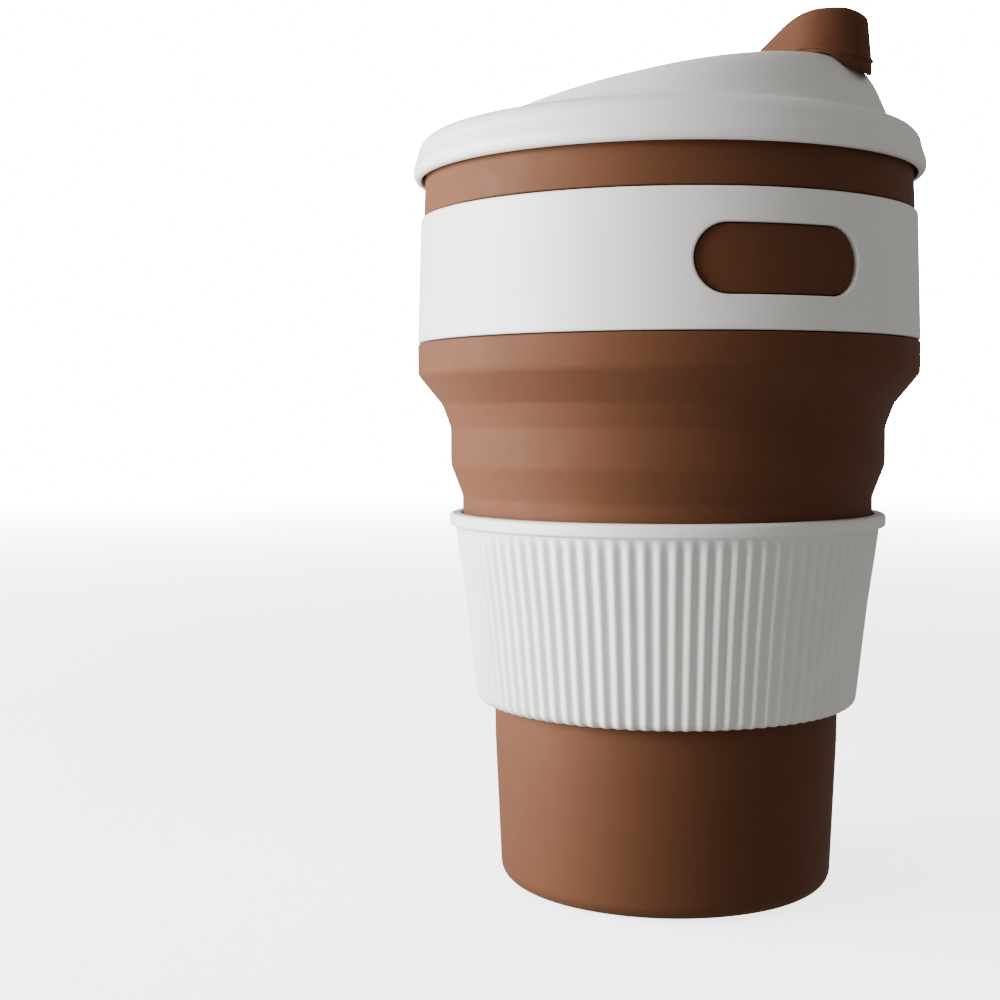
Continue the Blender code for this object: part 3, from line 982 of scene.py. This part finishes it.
def stopper_strap():
    """The strap and its cap. Each row crosses from one side of the outline to the other."""
    plan = strap_plan()
    normals = outline_normals(plan)
    top_line, under_line = strap_side_profile()

    def top_at(x):
        return np.interp(x, top_line[:, 0], top_line[:, 1])

    def bead_at(x):
        """The bead follows the strap's underside, and levels off round the nose."""
        line = np.interp(x, under_line[:, 0], under_line[:, 1])
        side = line + BEAD_RISE + BEAD_SIDE_RISE * smooth_step(x, 8.0, 26.0)
        fall = BEAD_NOSE_FALL * (x - BEAD_TURN_X)
        return smooth_min(side, land_line(BEAD_TURN_X) + BEAD_NOSE_RISE - fall, 1.2)

    def under_at(x, y):
        line = np.interp(x, under_line[:, 0], under_line[:, 1])
        lid_line = SHOULDER + wedge_height(x, y) + STRAP_GAP
        lip = bead_at(x) - LIP_DEPTH - LIP_NOSE_DEPTH * smooth_step(x, NOSE_X - 4.3, NOSE_X)
        return np.minimum(line, smooth_max(lid_line, lip, 0.8))

    spine = np.minimum(plan[:, 0], SPINE_END)
    reach = np.hypot(plan[:, 0] - spine, plan[:, 1])
    edge_radius = 1.1 + 0.15 * smooth_step(-plan[:, 0], -12.0, 0.0)
    draft = CAP_DRAFT * smooth_step(plan[:, 0], 12.0, 24.0)
    turns = np.linspace(0, math.pi / 2, 7)
    depths = [1 - math.cos(a) for a in turns]
    shares = [0.2, 0.4, 0.6, 0.8, 1.0]

    def across(depth, height_of, rounding):
        """One line of points at a depth in from the outline: x, y and z for the +Y half."""
        share = np.clip(depth / reach, 0, 1)
        x = plan[:, 0] + (spine - plan[:, 0]) * share
        y = plan[:, 1] * (1 - share)
        return np.column_stack([x, y, height_of(x, y) - rounding])

    def crowned(x, y):
        fall = CAP_CROWN * (y / STRAP_HALF_WIDTH) ** 2
        return top_at(x) - fall * smooth_step(x, 8.0, 16.0)

    lines = []
    for share in reversed(shares):
        depth = draft + edge_radius + (reach - draft - edge_radius) * share
        lines.append(across(depth, crowned, 0.0))
    for a, d in reversed(list(zip(turns, depths))):
        lines.append(across(draft + edge_radius * d, crowned, edge_radius * (1 - math.sin(a))))
    side_top = lines[-1][:, 2]

    bottom = under_at(plan[:, 0], plan[:, 1])
    bead = bead_at(plan[:, 0])

    def at_side(out, z):
        moved = plan + normals * np.reshape(out, (-1, 1))
        return np.column_stack([moved, z])

    zero = np.zeros(len(plan))
    for t in (0.33, 0.66, 1.0):
        lines.append(at_side(-draft * (1 - t), side_top + (bead + 0.5 - side_top) * t))
    for out, rise in BEAD_BULGE:
        lines.append(at_side(zero + out, bead + rise))
    for out, share in LIP_BULGE:
        lines.append(at_side(zero + out, (bead - BEAD_FOOT) * (1 - share) + bottom * share))
    for share in (0.1, 0.25, 0.45, 0.7, 1.0):
        lines.append(across(reach * share, under_at, 0.0))

    strap = mirrored_skin("stopper_strap_cap", np.array(lines))
    fill_openings(strap)
    shade(strap, 50)
    return strap


def stopper_plug():
    """The plug under the cap, which stands in the sip hole."""
    seat = SHOULDER + (SIP_X - CREASE_X) * LAND_SLOPE
    return turned(
        "stopper_plug",
        [
            (0, seat + 3, 0),
            (SIP_RADIUS - 0.35, seat + 3, 0),
            (SIP_RADIUS - 0.35, seat - 0.5, 0.4),
            (SIP_RADIUS - 0.9, seat - 4.5, 0.7),
            (0, seat - 4.5, 0),
        ],
        72,
        SIP_X,
    )


# The studio

CAMERA_DISTANCE, CAMERA_HEIGHT = 288.9, 83.8
CAMERA_ANGLES = (30.0, 6.02, 2.88, -0.14)  # azimuth, turn, pitch and roll, in degrees
CAMERA_LENS, CAMERA_SENSOR = 56.3, 36.0
KEY = 26.5
BOUNCE = 2.0
WORLD = 0.34
STUDIO_RADIUS = 5.5
FLOOR_DROP = 0.0004  # keeps the floor clear of the cup's base
FLOOR_GLOW = 1.9
FLOOR_REACH = (0.2, 2.5)
BACKDROP_GLOW = 22.0


def camera():
    """A nearly level camera above the sleeve's height, with the cup to the right of its middle."""
    azimuth, turn, pitch, roll = (math.radians(a) for a in CAMERA_ANGLES)
    data = bpy.data.cameras.new("camera")
    data.lens = CAMERA_LENS
    data.sensor_width = CAMERA_SENSOR
    data.clip_start = 0.01
    obj = bpy.data.objects.new("camera", data)
    bpy.context.scene.collection.objects.link(obj)
    x, y = CAMERA_DISTANCE * math.sin(azimuth), -CAMERA_DISTANCE * math.cos(azimuth)
    place = Vector((x, y, CAMERA_HEIGHT)) * MM
    aim = Matrix.Rotation(azimuth + turn, 4, "Z") @ Matrix.Rotation(math.pi / 2 - pitch, 4, "X")
    obj.matrix_world = Matrix.Translation(place) @ aim @ Matrix.Rotation(roll, 4, "Z")
    bpy.context.scene.camera = obj


def area_light(name, place, target, size, power):
    data = bpy.data.lights.new(name, "AREA")
    data.shape = "RECTANGLE"
    data.size, data.size_y = size
    data.energy = power
    obj = bpy.data.objects.new(name, data)
    obj.location = place
    obj.rotation_euler = (Vector(target) - Vector(place)).to_track_quat("-Z", "Y").to_euler()
    obj.visible_camera = False
    bpy.context.scene.collection.objects.link(obj)


def flat_material(name, colour, strength):
    """A surface that glows evenly, for the backdrop."""
    material = bpy.data.materials.new(name)
    material.use_nodes = True
    shader = material.node_tree.nodes["Principled BSDF"]
    shader.inputs["Base Color"].default_value = (0, 0, 0, 1)
    shader.inputs["Emission Color"].default_value = (*colour, 1)
    shader.inputs["Emission Strength"].default_value = strength
    return material


def floor_material():
    """A pale floor, faintly cloudy, that stays bright in shade."""
    material = bpy.data.materials.new("floor")
    material.use_nodes = True
    tree = material.node_tree
    shader = tree.nodes["Principled BSDF"]
    place = tree.nodes.new("ShaderNodeTexCoord").outputs["Object"]
    tone = ranged(tree, noise(tree, place, 9.0, 3.0), 0.3, 0.7, 0.0, 1.0)
    pale = mixed(tree, tone, (0.84, 0.84, 0.84), (0.80, 0.80, 0.80))
    tree.links.new(pale, shader.inputs["Base Color"])
    shader.inputs["Roughness"].default_value = 0.8
    shader.inputs["Emission Color"].default_value = (1, 1, 1, 1)
    reach = tree.nodes.new("ShaderNodeVectorMath")
    reach.operation = "LENGTH"
    tree.links.new(place, reach.inputs[0])
    near, far = FLOOR_REACH
    glow = ranged(tree, reach.outputs["Value"], near, far, 0.0, 1.0)
    steep = tree.nodes.new("ShaderNodeMath")
    steep.operation = "POWER"
    steep.inputs[1].default_value = 2.0
    tree.links.new(glow, steep.inputs[0])
    strength = ranged(tree, steep.outputs["Value"], 0.0, 1.0, FLOOR_GLOW, BACKDROP_GLOW)
    tree.links.new(strength, shader.inputs["Emission Strength"])
    return material


def staged(name, work, material):
    """A piece of the studio, seen by the camera but giving the cup no light."""
    mesh = bpy.data.meshes.new(name)
    work.to_mesh(mesh)
    work.free()
    mesh.materials.append(material)
    obj = bpy.data.objects.new(name, mesh)
    bpy.context.scene.collection.objects.link(obj)
    obj.visible_diffuse = False
    obj.visible_glossy = False
    return obj


def studio():
    world = bpy.data.worlds.new("studio")
    bpy.context.scene.world = world
    world.use_nodes = True
    background = world.node_tree.nodes["Background"]
    background.inputs["Color"].default_value = (1.0, 0.97, 0.94, 1.0)
    background.inputs["Strength"].default_value = WORLD
    area_light("key", (-0.72, -0.69, 0.30), (0, 0, 0.08), (0.95, 0.6), KEY)
    # Light off the table beside the cup
    area_light("bounce", (-0.26, -0.28, 0.003), (-0.26, -0.28, 1.0), (0.42, 0.42), BOUNCE)

    work = bmesh.new()
    bmesh.ops.create_grid(work, x_segments=1, y_segments=1, size=6.0)
    staged("studio_floor", work, floor_material()).location.z = -FLOOR_DROP
    work = bmesh.new()
    bmesh.ops.create_uvsphere(work, u_segments=32, v_segments=16, radius=STUDIO_RADIUS)
    glow = flat_material("backdrop", (1, 1, 1), BACKDROP_GLOW)
    backdrop = staged("studio_backdrop", work, glow)
    backdrop.visible_shadow = False

    bpy.context.scene.view_settings.look = "AgX - Medium High Contrast"


def build_cup():
    brown = silicone("brown silicone", (0.150, 0.066, 0.036))
    stopper_brown = silicone("stopper silicone", (0.142, 0.061, 0.033))
    white = white_plastic("white polypropylene", (0.80, 0.80, 0.785), 0.42)
    ribbed = white_plastic("ribbed polypropylene", (0.82, 0.82, 0.805), 0.40)
    lid_white = white_plastic("lid polypropylene", (0.80, 0.80, 0.785), 0.38)
    gloss_white = white_plastic("button polypropylene", (0.82, 0.81, 0.79), 0.30)

    finish_piece(upper_skin(), brown, "upper_tier", ["upper_cup_wall"])
    finish_piece(window_pad(), brown, "upper_tier")
    upper = finish_piece(upper_fold(), brown, nodes=["upper_fold_web"])
    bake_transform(upper)
    nodes = ["lower_fold_web", "middle_cup_wall"]
    lower = finish_piece(lower_fold(), brown, nodes=nodes)
    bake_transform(lower)
    finish_piece(base_skin(), brown, "base", ["cup_base"])
    finish_piece(grip_band(), white, "upper_tier", ["grip_band"])
    finish_piece(heat_sleeve(), ribbed, "sleeve", ["heat_sleeve"])
    finish_piece(lid(), lid_white, "lid", ["lid_shell"])
    finish_piece(stopper_disc(), stopper_brown, "lid", ["stopper_disc"])
    finish_piece(stopper_button(), gloss_white, "lid", ["stopper_button"])
    nodes = ["stopper_strap"]
    strap = finish_piece(stopper_strap(), stopper_brown, nodes=nodes)
    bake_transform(strap)
    finish_piece(stopper_plug(), stopper_brown, "stopper")


build_cup()
camera()
studio()
